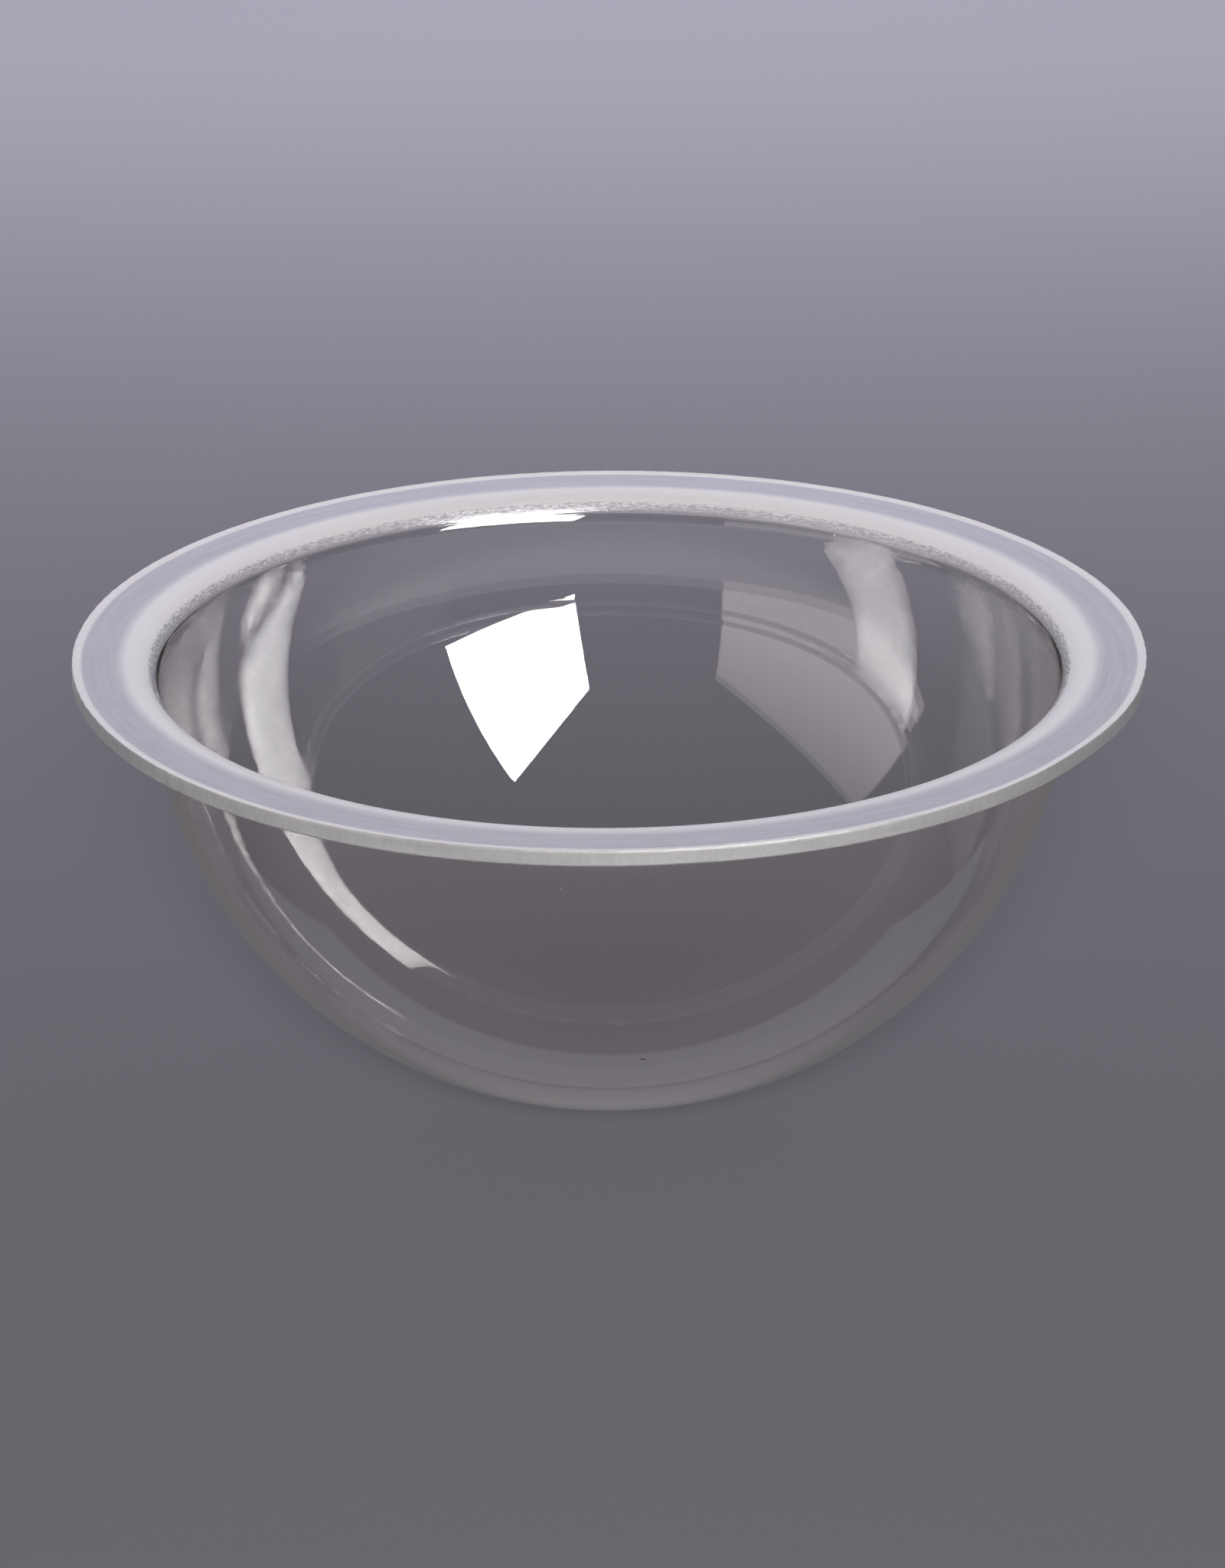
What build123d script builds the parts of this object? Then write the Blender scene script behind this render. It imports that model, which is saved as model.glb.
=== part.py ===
from build123d import *
import os

# Round-bottomed clear bowl with a wide flat flange, drawn from one sheet of acrylic.
#
# The bowl opens upwards. The origin is the lowest point of its outside, and +Z is its axis of
# symmetry. All lengths are in millimetres.

# Flat flange: the part of the sheet that stayed in the clamp
FLANGE_RADIUS = 110.0
SHEET_THICKNESS = 3.0
EDGE_CHAMFER = 0.4

# Rolled shoulder between the flange and the bowl
SHOULDER_RADIUS = 99.3  # where the flange's top begins to roll over
SHOULDER_DROP = 6.0
UNDERSIDE_ROLL = 5.0  # how far out the bowl's outside flares to meet the flange

# Bowl: the stretched part of the sheet, thinnest at its lowest point
HEIGHT = 94.5
OUTER_RADIUS = 94.2
INNER_RADIUS = 92.0
OUTER_DEPTH = 89.8
BOTTOM_THICKNESS = 1.5

UNDERSIDE_HEIGHT = HEIGHT - SHEET_THICKNESS
INNER_CENTRE_HEIGHT = HEIGHT - SHOULDER_DROP
FULL_TURN = 360
QUARTER = 90


def half_section():
    """The face on one side of the axis, in the XZ plane, that turns into the whole dish."""
    with BuildSketch(Plane.XZ) as sketch:
        with BuildLine():
            # Outside of the bowl, from its lowest point up to its widest
            EllipticalCenterArc(
                (0, OUTER_DEPTH),
                OUTER_RADIUS,
                OUTER_DEPTH,
                -QUARTER,
                arc_size=QUARTER,
            )
            # Outside flare, from the widest point of the bowl to the flange's underside
            EllipticalCenterArc(
                (OUTER_RADIUS + UNDERSIDE_ROLL, OUTER_DEPTH),
                UNDERSIDE_ROLL,
                UNDERSIDE_HEIGHT - OUTER_DEPTH,
                QUARTER,
                arc_size=QUARTER,
            )
            # Flange: underside, chamfered cut edge and top
            Polyline(
                (OUTER_RADIUS + UNDERSIDE_ROLL, UNDERSIDE_HEIGHT),
                (FLANGE_RADIUS - EDGE_CHAMFER, UNDERSIDE_HEIGHT),
                (FLANGE_RADIUS, UNDERSIDE_HEIGHT + EDGE_CHAMFER),
                (FLANGE_RADIUS, HEIGHT - EDGE_CHAMFER),
                (FLANGE_RADIUS - EDGE_CHAMFER, HEIGHT),
                (SHOULDER_RADIUS, HEIGHT),
            )
            # Rolled shoulder, from the flange's top down to the inner wall
            EllipticalCenterArc(
                (SHOULDER_RADIUS, INNER_CENTRE_HEIGHT),
                SHOULDER_RADIUS - INNER_RADIUS,
                SHOULDER_DROP,
                QUARTER,
                arc_size=QUARTER,
            )
            # Inside of the bowl, down to its lowest point
            EllipticalCenterArc(
                (0, INNER_CENTRE_HEIGHT),
                INNER_RADIUS,
                INNER_CENTRE_HEIGHT - BOTTOM_THICKNESS,
                -QUARTER,
                arc_size=QUARTER,
            )
            # On the axis, through the thickness of the bottom
            Line((0, 0), (0, BOTTOM_THICKNESS))
        make_face()
    return sketch.sketch


def flanged_bowl():
    """The whole dish: flange, shoulder and bowl are one piece of sheet with no joint."""
    return revolve(half_section(), Axis.Z, FULL_TURN)


PARTS = {"flanged_bowl": flanged_bowl}

os.makedirs("parts", exist_ok=True)
for node, make in PARTS.items():
    export_step(make(), f"parts/{node}.step")
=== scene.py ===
import math

import bpy
import numpy as np
from mathutils import Matrix, Vector


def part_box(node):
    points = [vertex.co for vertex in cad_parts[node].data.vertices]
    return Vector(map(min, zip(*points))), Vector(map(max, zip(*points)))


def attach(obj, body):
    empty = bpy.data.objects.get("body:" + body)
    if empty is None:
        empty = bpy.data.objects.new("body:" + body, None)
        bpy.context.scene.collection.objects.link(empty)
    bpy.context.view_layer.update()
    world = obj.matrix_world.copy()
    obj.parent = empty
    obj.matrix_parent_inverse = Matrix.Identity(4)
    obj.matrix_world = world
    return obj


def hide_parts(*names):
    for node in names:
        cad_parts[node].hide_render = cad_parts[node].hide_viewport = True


# A clear acrylic dish with a flange: its looks, its stage, its light and its camera.
#
# Lengths are in metres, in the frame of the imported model. Sizes that the frame doesn't give are
# in the dish's own millimetres, times MM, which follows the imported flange.

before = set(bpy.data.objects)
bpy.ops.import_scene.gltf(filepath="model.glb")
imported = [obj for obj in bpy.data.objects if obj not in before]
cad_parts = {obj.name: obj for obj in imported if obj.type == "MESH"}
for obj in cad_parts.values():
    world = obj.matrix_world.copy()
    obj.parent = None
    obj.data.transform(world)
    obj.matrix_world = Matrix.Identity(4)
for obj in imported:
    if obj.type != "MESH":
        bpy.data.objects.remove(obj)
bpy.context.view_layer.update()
NODE = "flanged_bowl"

box_high = Vector(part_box(NODE)[1])
FLANGE_RADIUS = box_high.x
HEIGHT = box_high.z
FLANGE_RADIUS_MM = 110.0
MM = FLANGE_RADIUS / FLANGE_RADIUS_MM

# The section of the dish
SHEET = 3.0 * MM
CHAMFER = 0.4 * MM
SHOULDER_RADIUS = 99.3 * MM
SHOULDER_DROP = 6.0 * MM
UNDERSIDE_ROLL = 5.0 * MM
OUTER_RADIUS = 94.2 * MM
INNER_RADIUS = 92.0 * MM
OUTER_DEPTH = 89.8 * MM
BOTTOM_THICKNESS = 1.5 * MM
UNDER = HEIGHT - SHEET
INNER_CENTRE = HEIGHT - SHOULDER_DROP
FLARE = OUTER_RADIUS + UNDERSIDE_ROLL

# The burr that the saw left on the flange's top edge: a low ramp up to a narrow outer face
BURR = 0.32 * MM
BURR_RAMP = 0.6 * MM
BURR_FACE = 0.12 * MM

# ---------------------------------------------------------------- random relief


def waves(seed, count, turns, across):
    """Random waves: how many round the dish, radians per mm across it, phase and strength."""
    draw = np.random.default_rng(seed)
    round_it = draw.integers(turns[0], turns[1], count)
    over_it = draw.uniform(across[0], across[1], count)
    phase = draw.uniform(0, math.tau, count)
    strength = draw.uniform(0.5, 1.0, count)
    strength /= math.sqrt((strength**2).sum() / 2)
    return list(zip(round_it, over_it, phase, strength))


def relief(made, angle, run):
    """The height of those waves at an angle and a place across the section, mostly -2 to 2."""
    height = np.zeros_like(angle)
    for turns, over, phase, strength in made:
        height += strength * np.sin(turns * angle + over * run + phase)
    return height


# Seed, how many waves, range of waves round the dish, range of radians per mm across it
DRAW_FLOW = waves(3, 10, (3, 14), (-0.06, 0.06))
WALL_SWELL = waves(5, 6, (2, 5), (-0.03, 0.03))
CRINKLES = waves(7, 60, (150, 420), (-1.3, 1.9))
FLANGE_SWELL = waves(11, 6, (2, 6), (-0.05, 0.05))
SAW_WANDER = waves(13, 16, (20, 160), (-0.2, 0.2))

# ---------------------------------------------------------------- the dish

BODY, SAWN = range(2)


def elliptic(centre, radii, start, stop, count):
    """Points (radius, height) along an elliptical arc, without the last one."""
    for i in range(count):
        a = math.radians(start + (stop - start) * i / count)
        yield centre[0] + radii[0] * math.cos(a), centre[1] + radii[1] * math.sin(a)


def straight(start, stop, count):
    """Points (radius, height) along a line, without the last one."""
    for i in range(count):
        t = i / count
        yield start[0] + (stop[0] - start[0]) * t, start[1] + (stop[1] - start[1]) * t


def stretches():
    """The section from the inner pole over the flange to the outer pole: (name, finish, points).

    The last number of each stretch is how many rings it has.
    """
    inner = (INNER_RADIUS, INNER_CENTRE - BOTTOM_THICKNESS)
    shoulder = (SHOULDER_RADIUS - INNER_RADIUS, SHOULDER_DROP)
    flare = (UNDERSIDE_ROLL, UNDER - OUTER_DEPTH)
    rim = FLANGE_RADIUS
    burr_foot = (rim - BURR_FACE - BURR_RAMP, HEIGHT)
    burr_top = (rim - BURR_FACE, HEIGHT + BURR)
    edge_top = (rim, HEIGHT + BURR - 2 * BURR_FACE)
    return [
        ("inside", BODY, elliptic((0, INNER_CENTRE), inner, -90, 0, 80)),
        ("shoulder", BODY, elliptic((SHOULDER_RADIUS, INNER_CENTRE), shoulder, 180, 90, 24)),
        ("top", BODY, straight((SHOULDER_RADIUS, HEIGHT), burr_foot, 6)),
        ("rim", BODY, straight(burr_foot, burr_top, 3)),
        ("bevel", SAWN, straight(burr_top, edge_top, 1)),
        ("edge", SAWN, straight(edge_top, (rim, UNDER + CHAMFER), 6)),
        ("low_bevel", SAWN, straight((rim, UNDER + CHAMFER), (rim - CHAMFER, UNDER), 1)),
        ("underside", BODY, straight((rim - CHAMFER, UNDER), (FLARE, UNDER), 6)),
        ("flare", BODY, elliptic((FLARE, OUTER_DEPTH), flare, 90, 180, 8)),
        ("outside", BODY, elliptic((0, OUTER_DEPTH), (OUTER_RADIUS, OUTER_DEPTH), 0, -90, 80)),
    ]


# How many points a ring has. From COARSE it halves towards the poles, down to 45 and then 22. As 22
# doesn't divide 45, one small triangle stays open beside each pole, inside and outside.
FINE = 1440
COARSE = 360
LEAST = 24
POLE_SPACING = 0.13 * MM
TINY = 1e-6
SHARP = math.radians(28)


def ring_count(name, radius):
    """How many points a ring has: many on the worked rim, fewer on the bowl and near its poles."""
    if name in ("shoulder", "bevel", "edge", "low_bevel"):
        return FINE
    count = COARSE
    while count > LEAST and radius < count * POLE_SPACING:
        count //= 2
    return count


# Along the shoulder, in degrees down from the flange's flat top: how frosted it is, how strong the
# painted highlight is (a near-white colour standing for the light the shoulder's upper band catches),
# how wrinkled, and where the drawing left a low ridge
SHOULDER_ANGLES = (0, 5, 14, 40, 45, 54, 60, 64, 68, 90)
HAZE_OVER_SHOULDER = (1.0, 1.0, 1.0, 1.0, 0.70, 0.55, 0.30, 0.0, 0.0, 0.0)
HIGHLIGHT_OVER_SHOULDER = (0.55, 0.75, 1.0, 1.0, 0.45, 0.0, 0.0, 0.0, 0.0, 0.0)
CRINKLE_OVER_SHOULDER = (0.0, 0.0, 0.05, 0.55, 1.0, 0.9, 0.35, 0.0, 0.0, 0.0)
RIDGE_OVER_SHOULDER = (0, 0, 0, 0, 0, 0, 0, 1, 0.3, 0)
UNDERSIDE_HAZE = 0.5
HAZE_OF = {"top": 1.0, "rim": 1.0, "bevel": 1.0, "edge": 1.0, "low_bevel": 1.0,
           "underside": UNDERSIDE_HAZE, "outside": 0.0, "inside": 0.0}
# Painted highlight: the burr along the flange's outer top edge, and the flange's top next to the
# shoulder, get the same near-white colour, standing for the light they catch
RIM_HIGHLIGHT = 1.5
TOP_HIGHLIGHT = HIGHLIGHT_OVER_SHOULDER[0]
HIGHLIGHT_MARGIN = 2.8 * MM  # how far out on the flange's top the painted highlight fades away


def over_shoulder(height, values):
    """One of the shoulder's lists, at a height."""
    down = math.degrees(math.acos(min(1.0, (height - INNER_CENTRE) / SHOULDER_DROP)))
    return float(np.interp(down, SHOULDER_ANGLES, values))


def worked(name, radius, height):
    """(haze, painted highlight, crinkle) of a ring: how frosted, how strongly painted with the
    near-white highlight and how wrinkled its surface is.
    """
    if name == "shoulder":
        return [over_shoulder(height, v)
                for v in (HAZE_OVER_SHOULDER, HIGHLIGHT_OVER_SHOULDER, CRINKLE_OVER_SHOULDER)]
    if name == "flare":
        return UNDERSIDE_HAZE * (height - OUTER_DEPTH) / (UNDER - OUTER_DEPTH), 0.0, 0.0
    painted_highlight = RIM_HIGHLIGHT if name == "rim" else 0.0
    if name == "top":
        painted_highlight = TOP_HIGHLIGHT * max(0.0, 1 - (radius - SHOULDER_RADIUS) / HIGHLIGHT_MARGIN)
    return HAZE_OF[name], painted_highlight, 0.0


# Heights of the relief, where it fades, and the flat where the saw ran straight
WALL_RELIEF = 0.010 * MM
FLOW_REACH, FLOW_START = 6, 4  # mm below the shoulder
SWELL_START = 8  # mm below the shoulder
CALM_POLE = 40 * MM  # the swell dies away inside this radius
SWELL_TURN = 0.5  # the outside's swell is turned by this angle from the inside's
WRINKLE = 0.045 * MM
WRINKLE_ONSET = 1.3
WRINKLE_LIFT = 0.6
RIDGE = 0.13 * MM
FLANGE_RELIEF = 0.05 * MM
FLANGE_DROOP = 2  # times FLANGE_RELIEF
SAW_RELIEF, SAW_INSET = 0.03, 0.06  # mm
FLAT_DIRECTION, FLAT_SPREAD = math.radians(-32), math.radians(9)
FLAT_DEPTH = 0.45 * MM
WORKED_FLANGE = ("top", "rim", "bevel", "edge", "low_bevel", "underside")


def displaced(name, radius, height, angle, run, crinkle):
    """A ring's points, moved off the true surface as drawing and sawing left them."""
    r = np.full_like(angle, radius)
    z = np.full_like(angle, height)
    run_mm = run / MM
    calm = min(1.0, radius / CALM_POLE)
    if name == "inside":
        below = (INNER_CENTRE - height) / MM
        near_top = math.exp(-below / FLOW_REACH) * (1 - math.exp(-below / FLOW_START))
        swell = calm * min(1.0, below / SWELL_START) * relief(WALL_SWELL, angle, run_mm)
        r += WALL_RELIEF * (near_top * relief(DRAW_FLOW, angle, run_mm) + swell)
    elif name == "outside":
        below = (OUTER_DEPTH - height) / MM
        swell = relief(WALL_SWELL, angle + SWELL_TURN, run_mm)
        r += WALL_RELIEF * calm * min(1.0, below / SWELL_START) * swell
    elif name == "shoulder":
        wrinkle = WRINKLE * crinkle * relief(CRINKLES, angle, run_mm)
        down = (HEIGHT - height) / SHOULDER_DROP
        r += wrinkle * min(1.0, WRINKLE_ONSET * down)
        r += RIDGE * over_shoulder(height, RIDGE_OVER_SHOULDER)
        z += wrinkle * WRINKLE_LIFT * (1 - down)
    elif name in WORKED_FLANGE:
        out = (radius - SHOULDER_RADIUS) / (FLANGE_RADIUS - SHOULDER_RADIUS)
        out = min(1.0, max(0.0, out))
        z += FLANGE_RELIEF * out * (relief(FLANGE_SWELL, angle, 0) - FLANGE_DROOP)
        r += out * MM * (SAW_RELIEF * relief(SAW_WANDER, angle, run_mm) - SAW_INSET)
        off = np.angle(np.exp(1j * (angle - FLAT_DIRECTION)))
        r -= out * FLAT_DEPTH * np.exp(-((off / FLAT_SPREAD) ** 2))
    return r, z


def build_dish():
    """The whole dish as one mesh, ring by ring, from the inner pole to the outer one."""
    rings, run, last = [], 0.0, None
    for name, finish, points in stretches():
        for radius, height in points:
            run += math.dist(last, (radius, height)) if last else 0.0
            last = (radius, height)
            if radius > TINY:
                rings.append((name, finish, radius, height, run))
    starts, counts, coords, values = [], [], [(0, 0, BOTTOM_THICKNESS)], [(0, 0, 0, 0)]
    for name, finish, radius, height, run in rings:
        count = ring_count(name, radius)
        angle = np.arange(count) * math.tau / count
        haze, painted_highlight, crinkle = worked(name, radius, height)
        r, z = displaced(name, radius, height, angle, run, crinkle)
        starts.append(len(coords))
        counts.append(count)
        coords.extend(zip(r * np.cos(angle), r * np.sin(angle), z))
        values.extend([(haze, painted_highlight, crinkle, run / MM)] * count)
    coords.append((0, 0, 0))
    values.append((0, 0, 0, run / MM))

    faces, finishes = [], []
    for i in range(counts[0]):
        faces.append([0, starts[0] + i, starts[0] + (i + 1) % counts[0]])
        finishes.append(BODY)
    for a in range(len(rings) - 1):
        b = a + 1
        count = min(counts[a], counts[b])
        by_a, by_b = counts[a] // count, counts[b] // count
        for i in range(count):
            low = [starts[a] + (i * by_a + j) % counts[a] for j in range(by_a + 1)]
            high = [starts[b] + (i * by_b + j) % counts[b] for j in range(by_b + 1)]
            faces.append(high + low[::-1])
            finishes.append(rings[a][1])
    for i in range(counts[-1]):
        faces.append([starts[-1] + i, len(coords) - 1, starts[-1] + (i + 1) % counts[-1]])
        finishes.append(BODY)

    mesh = bpy.data.meshes.new("dish")
    mesh.from_pydata(coords, [], faces)
    mesh.polygons.foreach_set("material_index", finishes)
    mesh.polygons.foreach_set("use_smooth", [True] * len(faces))
    mesh.update()
    mesh.set_sharp_from_angle(angle=SHARP)
    columns = np.array(values, dtype=np.float32).T
    for name, column in zip(("haze", "painted_highlight", "crinkle", "run"), columns):
        attribute = mesh.attributes.new(name, "FLOAT", "POINT")
        attribute.data.foreach_set("value", np.ascontiguousarray(column))
    dish = bpy.data.objects.new("dish", mesh)
    bpy.context.scene.collection.objects.link(dish)
    return dish


# ---------------------------------------------------------------- materials


STROKE_RADIUS = 100  # mm: strokes have their stated pitch at this radius


class Nodes:
    """A material's node tree, written as calls."""

    def __init__(self, name):
        self.material = bpy.data.materials.new(name)
        self.material.use_nodes = True
        self.tree = self.material.node_tree
        self.shader = self.tree.nodes["Principled BSDF"]
        self.output = self.tree.nodes["Material Output"]

    def put(self, socket, value):
        if isinstance(value, bpy.types.NodeSocket):
            self.tree.links.new(value, socket)
        else:
            socket.default_value = value

    def add(self, kind, *inputs, out=0, **settings):
        node = self.tree.nodes.new(kind)
        for key, value in settings.items():
            setattr(node, key, value)
        for socket, value in zip(node.inputs, inputs):
            if value is not None:
                self.put(socket, value)
        return node.outputs[out]

    def attribute(self, name):
        return self.add("ShaderNodeAttribute", attribute_name=name, out="Fac")

    def maths(self, operation, *values):
        return self.add("ShaderNodeMath", *values, operation=operation)

    def vector(self, operation, *values):
        return self.add("ShaderNodeVectorMath", *values, operation=operation)

    def noise(self, vector, scale, detail=2.0, roughness=0.5):
        node = self.tree.nodes.new("ShaderNodeTexNoise")
        self.put(node.inputs["Vector"], vector)
        node.inputs["Scale"].default_value = scale
        node.inputs["Detail"].default_value = detail
        node.inputs["Roughness"].default_value = roughness
        return node.outputs["Fac"]

    def ramp(self, value, low, high, to_low=0.0, to_high=1.0):
        node = self.tree.nodes.new("ShaderNodeMapRange")
        for socket, x in zip(node.inputs, (value, low, high, to_low, to_high)):
            self.put(socket, x)
        return node.outputs["Result"]

    def blend(self, share, first, second):
        node = self.tree.nodes.new("ShaderNodeMix")
        node.data_type = "RGBA"
        self.put(node.inputs["Factor"], share)
        self.put(node.inputs["A"], first)
        self.put(node.inputs["B"], second)
        return next(o for o in node.outputs if o.type == "RGBA")

    def strokes(self, pitch, length, detail, roughness, slant=0.0):
        """Noise in strokes, with a pitch round the dish and a length across it in mm, and a slant."""
        place = self.add("ShaderNodeTexCoord", out="Object")
        flat = self.vector("MULTIPLY", place, (1, 1, 0))
        ring = self.vector("NORMALIZE", flat)
        run = self.attribute("run")
        node = self.tree.nodes.new("ShaderNodeVectorRotate")
        node.rotation_type = "Z_AXIS"
        self.put(node.inputs["Vector"], ring)
        self.put(node.inputs["Angle"], self.maths("MULTIPLY", run, slant / STROKE_RADIUS))
        around = self.vector("SCALE", node.outputs[0])
        around.node.inputs["Scale"].default_value = STROKE_RADIUS / pitch
        along = self.add("ShaderNodeCombineXYZ", 0.0, 0.0, self.maths("MULTIPLY", run, 1 / length))
        return self.noise(self.vector("ADD", around, along), 1.0, detail, roughness)

    def specks(self, spacing, radius, strength):
        """Sparse round specks of dust of many sizes: their spacing and largest radius in mm."""
        place = self.add("ShaderNodeTexCoord", out="Object")
        scale = 1 / (spacing * MM)
        node = self.tree.nodes.new("ShaderNodeTexVoronoi")
        self.put(node.inputs["Vector"], place)
        node.inputs["Scale"].default_value = scale
        size = self.ramp(self.noise(place, scale), 0.4, 0.65, 0.0, radius / spacing)
        inside = self.maths("LESS_THAN", node.outputs["Distance"], size)
        return self.maths("MULTIPLY", inside, strength)

    def bump(self, height, distance, strength, normal=None):
        node = self.tree.nodes.new("ShaderNodeBump")
        node.inputs["Strength"].default_value = strength
        node.inputs["Distance"].default_value = distance
        self.put(node.inputs["Height"], height)
        if normal is not None:
            self.put(node.inputs["Normal"], normal)
        return node.outputs[0]

    def lets_lamps_through(self, tint):
        """Lamps shine through the thin acrylic as through a pale filter, not as past a wall."""
        path = self.add("ShaderNodeLightPath", out="Is Shadow Ray")
        clear = self.add("ShaderNodeBsdfTransparent", (*tint, 1))
        mix = self.add("ShaderNodeMixShader", path, self.shader.outputs[0], clear)
        self.tree.links.new(mix, self.output.inputs["Surface"])


ACRYLIC_IOR = 1.49
CLEAR_TINT = (0.98, 0.962, 0.948, 1)
LAVENDER = (0.63, 0.62, 0.69, 1)
PALE_LAVENDER = (0.76, 0.75, 0.82, 1)
# The near-white colour painted as a highlight on the shoulder and the rim
HIGHLIGHT_WHITE = (1.0, 0.985, 0.985, 1)
SAWN_DARK = ((0.34, 0.34, 0.325, 1), (0.43, 0.43, 0.42, 1))
SAWN_LIGHT = ((0.45, 0.45, 0.42, 1), (0.55, 0.55, 0.53, 1))
LAMP_THROUGH_BODY = (0.74, 0.73, 0.725)
LAMP_THROUGH_EDGE = (0.6, 0.6, 0.6)
FROSTED_ROUGHNESS = 0.42
CLEAR_SPECULAR, FROSTED_SPECULAR = 0.5, 0.22


def body_acrylic():
    """Clear on the bowl, frosted lavender on the flange, wrinkled on the shoulder, with a painted
    near-white highlight on the shoulder and the rim.
    """
    n = Nodes("clear_acrylic")
    haze, painted_highlight, crinkle = n.attribute("haze"), n.attribute("painted_highlight"), n.attribute("crinkle")
    fine = n.strokes(pitch=0.45, length=7.0, detail=3.0, roughness=0.6)
    brushed = n.strokes(pitch=24.0, length=1.3, detail=5.0, roughness=0.7)
    scuffs = n.strokes(pitch=3.0, length=3.0, detail=5.0, roughness=0.65, slant=1.0)
    hair = n.strokes(pitch=1.5, length=0.36, detail=3.0, roughness=0.6, slant=0.6)

    # the painted highlight band ends raggedly among the wrinkles
    fringe = n.maths("MULTIPLY", crinkle, n.ramp(hair, 0.3, 0.7, -0.6, 0.6))
    highlight_share = n.ramp(n.maths("ADD", painted_highlight, fringe), 0.15, 0.65)
    tone = n.maths("ADD", n.ramp(fine, 0.3, 0.7, 0, 0.2), n.ramp(brushed, 0.32, 0.68, 0, 0.9))
    frosted = n.blend(tone, LAVENDER, PALE_LAVENDER)
    # Painted highlight: near-white colour where the shoulder and the rim catch the light
    n.put(n.shader.inputs["Base Color"], n.blend(haze, CLEAR_TINT, n.blend(highlight_share, frosted, HIGHLIGHT_WHITE)))

    # frost, the painted highlight, specks and wrinkles each make it milkier, which is less clear
    milky = n.maths("MULTIPLY", haze, n.ramp(scuffs, 0.35, 0.75, 0.80, 0.90))
    milky = n.maths("ADD", milky, n.maths("MULTIPLY", highlight_share, 0.15))
    milky = n.maths("ADD", milky, n.specks(spacing=8.0, radius=0.14, strength=0.7))
    milky = n.maths("ADD", milky, n.maths("MULTIPLY", crinkle, n.ramp(hair, 0.35, 0.65, -0.18, 0.26)))
    n.put(n.shader.inputs["Transmission Weight"], n.ramp(milky, 0.0, 1.0, 1.0, 0.0))

    matt = n.maths("SUBTRACT", haze, n.maths("MULTIPLY", crinkle, 0.35))
    n.put(n.shader.inputs["Roughness"], n.ramp(matt, 0.0, 1.0, 0.0, FROSTED_ROUGHNESS))
    specular = n.ramp(haze, 0.0, 1.0, CLEAR_SPECULAR, FROSTED_SPECULAR)
    n.put(n.shader.inputs["Specular IOR Level"], specular)
    lines = n.bump(n.maths("MULTIPLY", fine, haze), 0.03 * MM, 0.6)
    wrinkles = n.bump(n.maths("MULTIPLY", hair, crinkle), 0.30 * MM, 1.0, lines)
    n.put(n.shader.inputs["Normal"], wrinkles)
    n.shader.inputs["IOR"].default_value = ACRYLIC_IOR
    n.lets_lamps_through(LAMP_THROUGH_BODY)
    return n.material


def sawn_acrylic():
    """The sawn edge: pale and yellowish, rough, with upright chatter marks."""
    n = Nodes("sawn_acrylic")
    chatter = n.strokes(pitch=0.45, length=3.0, detail=3.0, roughness=0.6, slant=0.3)
    wander = n.strokes(pitch=9.0, length=2.5, detail=4.0, roughness=0.6)
    tone = n.ramp(chatter, 0.20, 0.80)
    dark, light = n.blend(wander, *SAWN_DARK), n.blend(wander, *SAWN_LIGHT)
    n.put(n.shader.inputs["Base Color"], n.blend(tone, dark, light))
    n.put(n.shader.inputs["Roughness"], n.ramp(chatter, 0.3, 0.7, 0.6, 0.4))
    n.put(n.shader.inputs["Transmission Weight"], n.ramp(wander, 0.3, 0.7, 0.45, 0.25))
    n.put(n.shader.inputs["Normal"], n.bump(chatter, 0.10 * MM, 0.8))
    n.shader.inputs["IOR"].default_value = ACRYLIC_IOR
    n.lets_lamps_through(LAMP_THROUGH_EDGE)
    return n.material


dish = build_dish()
for material in (body_acrylic(), sawn_acrylic()):
    dish.data.materials.append(material)
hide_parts(NODE)
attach(dish, "root")

# ---------------------------------------------------------------- stage and light

CENTRE_SHARE = 0.63  # of the dish's height
CENTRE = Vector((0, 0, HEIGHT * CENTRE_SHARE))
PANEL_FOOT, PANEL_HEAD = 0.21, 0.75  # heights for a panel 1 m away


def direction(azimuth, elevation):
    """A unit vector: azimuth 0 is away from the camera and 90 is to its right."""
    a, b = math.radians(azimuth), math.radians(elevation)
    return Vector((math.sin(a) * math.cos(b), math.cos(a) * math.cos(b), math.sin(b)))


def softbox(name, azimuth, elevation, distance, corners, colour, low_glow, high_glow):
    """A flat glowing panel that faces the dish, which only mirrors it.

    Corners are (right, up), for a panel 1 m away. Its glow changes from its foot to its head.
    """
    out = direction(azimuth, elevation)
    right = Vector((0, 0, 1)).cross(out).normalized()
    up = out.cross(right)
    points = [CENTRE + (out + right * x + up * y) * distance for x, y in corners]
    mesh = bpy.data.meshes.new(name)
    mesh.from_pydata([tuple(p) for p in points], [], [list(range(len(points)))])
    n = Nodes(name)
    place = n.add("ShaderNodeTexCoord", out="Object")
    height = n.add("ShaderNodeSeparateXYZ", place, out="Z")
    foot, head = PANEL_FOOT * distance, PANEL_HEAD * distance
    glow = n.ramp(height, foot, head, low_glow, high_glow)
    light = n.add("ShaderNodeEmission", (*colour, 1), glow)
    n.tree.links.new(light, n.output.inputs["Surface"])
    mesh.materials.append(n.material)
    panel = bpy.data.objects.new(name, mesh)
    panel.visible_camera = False
    panel.visible_diffuse = False
    panel.visible_shadow = False
    bpy.context.scene.collection.objects.link(panel)


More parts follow.
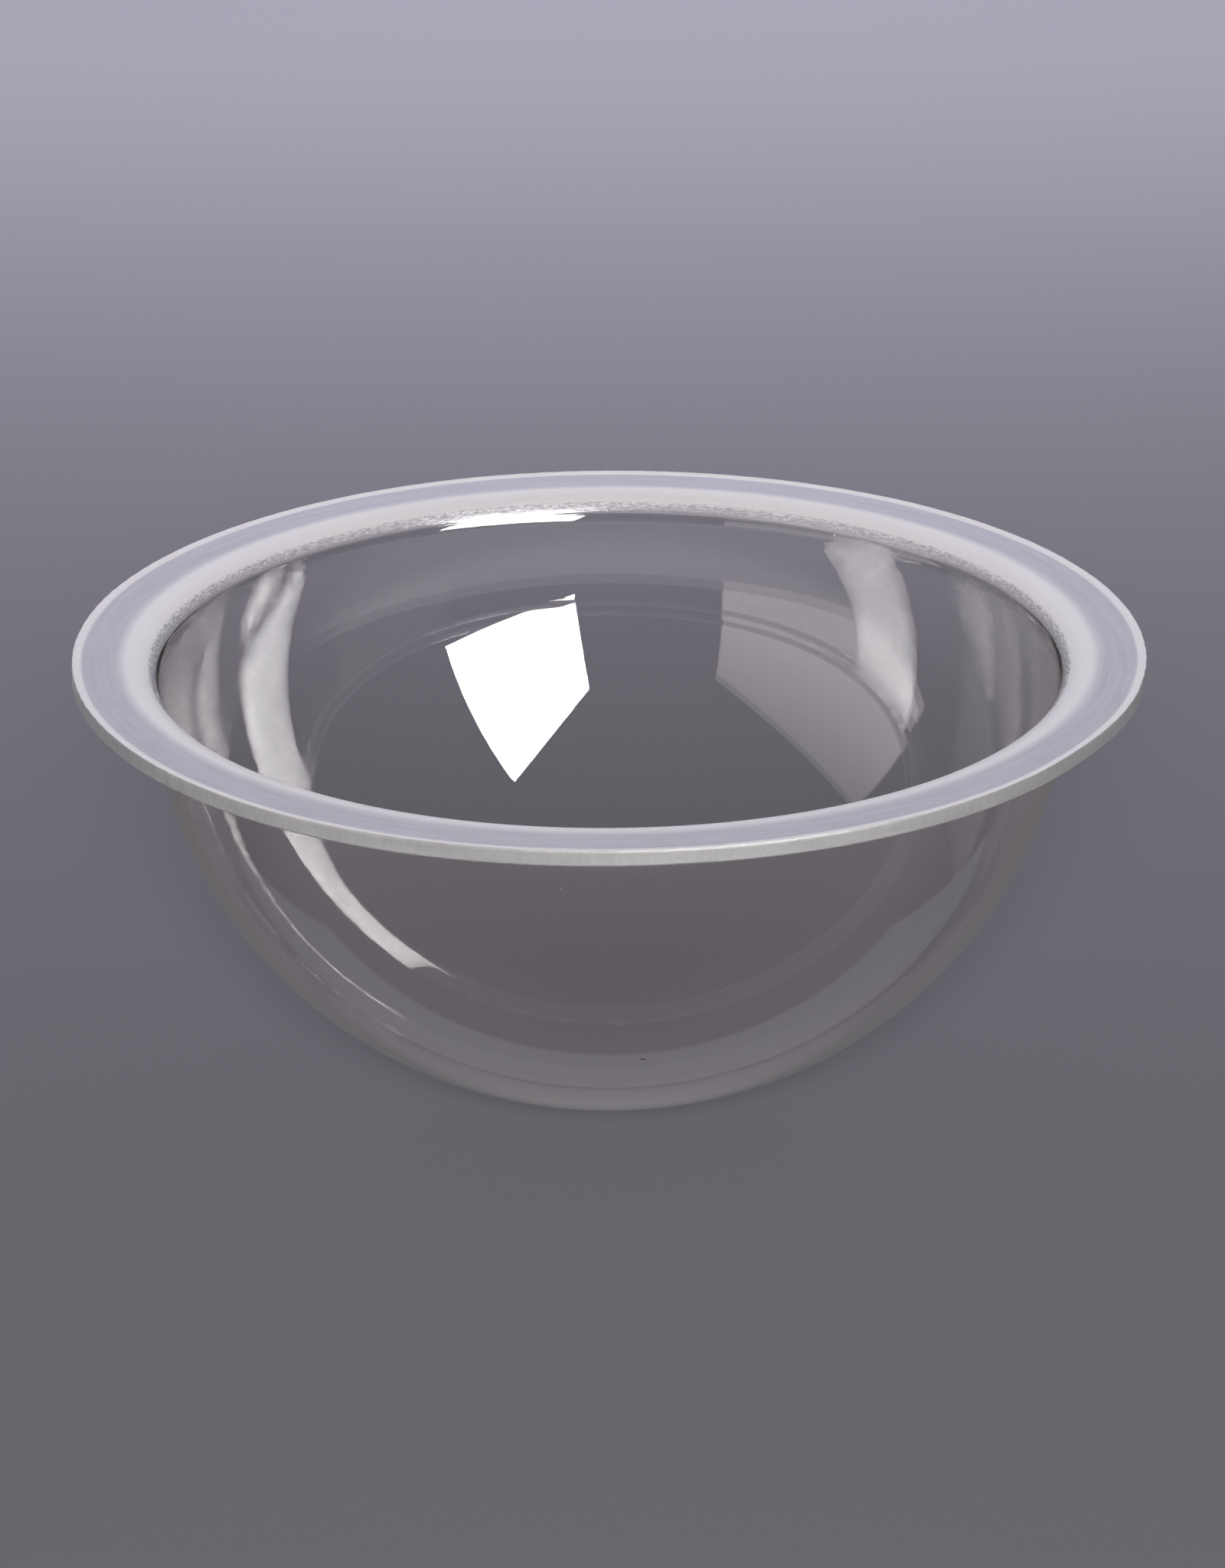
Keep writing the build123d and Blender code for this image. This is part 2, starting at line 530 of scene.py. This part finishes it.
def lamp(name, place, target, size, power, colour, shadow=True):
    """A soft rectangular lamp that lights matt surfaces and isn't mirrored by the dish."""
    data = bpy.data.lights.new(name, "AREA")
    data.shape = "RECTANGLE"
    data.size, data.size_y = size
    data.energy = power
    data.color = colour
    data.use_shadow = shadow
    light = bpy.data.objects.new(name, data)
    light.location = place
    light.rotation_mode = "QUATERNION"
    light.rotation_quaternion = (Vector(target) - Vector(place)).to_track_quat("-Z", "Y")
    light.visible_glossy = False
    light.visible_transmission = False
    light.visible_camera = False
    bpy.context.scene.collection.objects.link(light)


WINDOW = [(0.368, -0.225), (0.190, 0.498), (-0.292, 0.080), (-0.309, -0.408)]
SIDE_WINDOW = [(0.675, -0.449), (0.550, 0.325), (-0.588, 0.573), (-0.669, 0.028), (-0.002, -0.372)]
BACK_WALL = [(0.7, -0.205), (0.7, 0.25), (-0.7, 0.25), (-0.7, -0.205)]
softbox("key_panel", 155, 27, 2.4, WINDOW, (1, 1, 1), 38, 38)
softbox("side_panel", -118, 10, 2.4, SIDE_WINDOW, (1.02, 0.95, 1), 2.5, 0.85)
softbox("back_panel", 0, 12, 1.6, BACK_WALL, (0.95, 0.95, 1.15), 0.33, 0.33)
lamp("front", CENTRE + direction(180, 24) * 2.2, CENTRE, (0.5, 0.5), 40, (1, 0.965, 0.985))
lamp("back", (0, 0.95, 0.5), (0, 0.6, 0), (1.6, 0.2), 12.7, (0.87, 0.87, 1), shadow=False)


FLOOR_COLOUR = (0.205, 0.200, 0.215, 1)
FLOOR_SIZE, FLOOR_STEPS = 6.0, 8
# Painted reflection: the dish mirrors a glowing floor, not the lit one: the glow's colour, its glow
# behind and below the dish, and how the glow changes in front of it, from one distance to another
MIRRORED_COLOUR = (1, 0.95, 1.03, 1)
MIRRORED_GLOW = 0.14
MIRRORED_CHANGES = ((-0.02, -0.08, 0.25), (-0.22, -0.34, 0.56))


def floor():
    """A plain pale floor, which in the dish's reflections is a painted glow instead."""
    marks = [FLOOR_SIZE * (i / FLOOR_STEPS - 0.5) for i in range(FLOOR_STEPS + 1)]
    points = [(x, y, 0) for x in marks for y in marks]
    faces = []
    for i in range(FLOOR_STEPS):
        for j in range(FLOOR_STEPS):
            a = i * len(marks) + j
            faces.append([a, a + len(marks), a + len(marks) + 1, a + 1])
    mesh = bpy.data.meshes.new("pale_floor")
    mesh.from_pydata(points, [], faces)
    n = Nodes("pale_floor")
    n.shader.inputs["Base Color"].default_value = FLOOR_COLOUR
    n.shader.inputs["Roughness"].default_value = 1.0
    n.shader.inputs["Specular IOR Level"].default_value = 0.0
    # Painted reflection: rays that the dish has mirrored see the floor glow, brighter in front of the
    # dish
    glossy_depth = n.add("ShaderNodeLightPath", out="Glossy Depth")
    mirrored = n.maths("GREATER_THAN", glossy_depth, 0.5)
    place = n.add("ShaderNodeTexCoord", out="Object")
    away = n.add("ShaderNodeSeparateXYZ", place, out="Y")
    glow = MIRRORED_GLOW
    for start, stop, change in MIRRORED_CHANGES:
        glow = n.maths("ADD", glow, n.ramp(away, start, stop, 0.0, change))
    painted_reflection_glow = n.add("ShaderNodeEmission", MIRRORED_COLOUR, glow)
    seen = n.add("ShaderNodeMixShader", mirrored, n.shader.outputs[0], painted_reflection_glow)
    n.tree.links.new(seen, n.output.inputs["Surface"])
    mesh.materials.append(n.material)
    ground = bpy.data.objects.new("pale_floor", mesh)
    bpy.context.scene.collection.objects.link(ground)


floor()

ROOM_COLOUR = (0.05, 0.045, 0.05, 1)
world = bpy.data.worlds.new("room")
world.use_nodes = True
world.node_tree.nodes["Background"].inputs["Color"].default_value = ROOM_COLOUR
scene = bpy.context.scene
scene.world = world
scene.view_settings.view_transform = "Standard"
scene.cycles.caustics_reflective = False
scene.cycles.caustics_refractive = False
scene.cycles.sample_clamp_indirect = 0
scene.cycles.max_bounces = 24
scene.cycles.transmission_bounces = 20
scene.cycles.glossy_bounces = 12
scene.cycles.transparent_max_bounces = 24

# ---------------------------------------------------------------- camera

CAMERA_ELEVATION = 21.9
CAMERA_ROLL = -0.31
CAMERA_DISTANCE = 12 * FLANGE_RADIUS
AIM_RIGHT = 0.7 * MM
AIM_BELOW = 28.0 * MM
LENS = 147.8
SENSOR = 36.0


def make_camera():
    """The camera in front of the dish and above it."""
    e, roll = math.radians(CAMERA_ELEVATION), math.radians(CAMERA_ROLL)
    ahead = Vector((0, math.cos(e), -math.sin(e)))
    level = Vector((1, 0, 0))
    upright = Vector((0, math.sin(e), math.cos(e)))
    right = math.cos(roll) * level + math.sin(roll) * upright
    up = math.cos(roll) * upright - math.sin(roll) * level
    aim = Vector((0, 0, HEIGHT)) + right * AIM_RIGHT - up * AIM_BELOW
    data = bpy.data.cameras.new("camera")
    data.lens = LENS
    data.sensor_width = SENSOR
    camera = bpy.data.objects.new("camera", data)
    turn = Matrix((right, up, -ahead)).transposed()
    camera.matrix_world = Matrix.Translation(aim - ahead * CAMERA_DISTANCE) @ turn.to_4x4()
    bpy.context.scene.collection.objects.link(camera)
    bpy.context.scene.camera = camera


make_camera()
